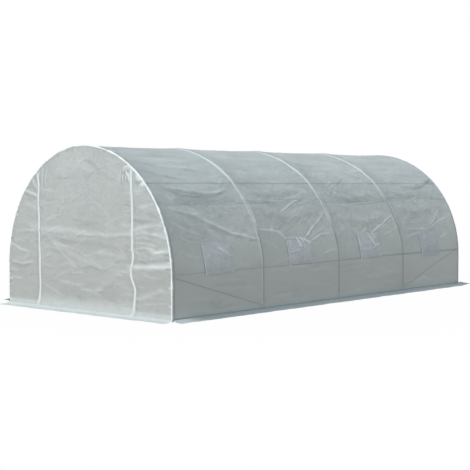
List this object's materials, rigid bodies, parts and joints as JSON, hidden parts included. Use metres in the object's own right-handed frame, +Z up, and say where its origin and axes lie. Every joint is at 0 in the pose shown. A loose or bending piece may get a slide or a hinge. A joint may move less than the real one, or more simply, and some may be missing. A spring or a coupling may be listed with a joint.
{
  "type": "polytunnel greenhouse",
  "caption": "Walk-in polytunnel: steel hoops and purlins under a translucent woven cover, with zipped end panels, netted side windows with flaps, and a skirt that lies on the ground.",
  "frame": {"origin": "middle of the footprint, on the ground", "axes": "+Z up, Y along the tunnel with the door end shown in the picture at -Y, +X to the right of that door"},
  "size_m": [3.36, 6.36, 1.994],
  "materials": {
    "galvanised_steel": "galvanised",
    "woven_cover": "satin",
    "white_trim": "satin",
    "zip": "satin",
    "window_net": "matte",
    "window_film": "satin"
  },
  "bodies": {
    "root": {"front_hoop": "galvanised_steel", "second_hoop": "galvanised_steel", "middle_hoop": "galvanised_steel", "fourth_hoop": "galvanised_steel", "rear_hoop": "galvanised_steel", "ridge_purlin": "galvanised_steel", "left_shoulder_purlin": "galvanised_steel", "right_shoulder_purlin": "galvanised_steel", "left_side_rail": "galvanised_steel", "right_side_rail": "galvanised_steel", "left_braces": "galvanised_steel", "right_braces": "galvanised_steel", "roof_cover": "woven_cover", "left_side_cover": "woven_cover", "right_side_cover": "woven_cover", "front_left_panel": "woven_cover", "front_door_panel": "woven_cover", "front_right_panel": "woven_cover", "rear_left_panel": "woven_cover", "rear_door_panel": "woven_cover", "rear_right_panel": "woven_cover", "front_skirt": "woven_cover", "rear_skirt": "woven_cover", "left_skirt": "woven_cover", "right_skirt": "woven_cover", "roof_seams": "white_trim", "front_welt": "white_trim", "rear_welt": "white_trim", "front_zips": "zip", "rear_zips": "zip", "left_window_nets": "window_net", "right_window_nets": "window_net", "left_window_flaps": "window_film", "right_window_flaps": "window_film"}
  },
  "joints": []
}
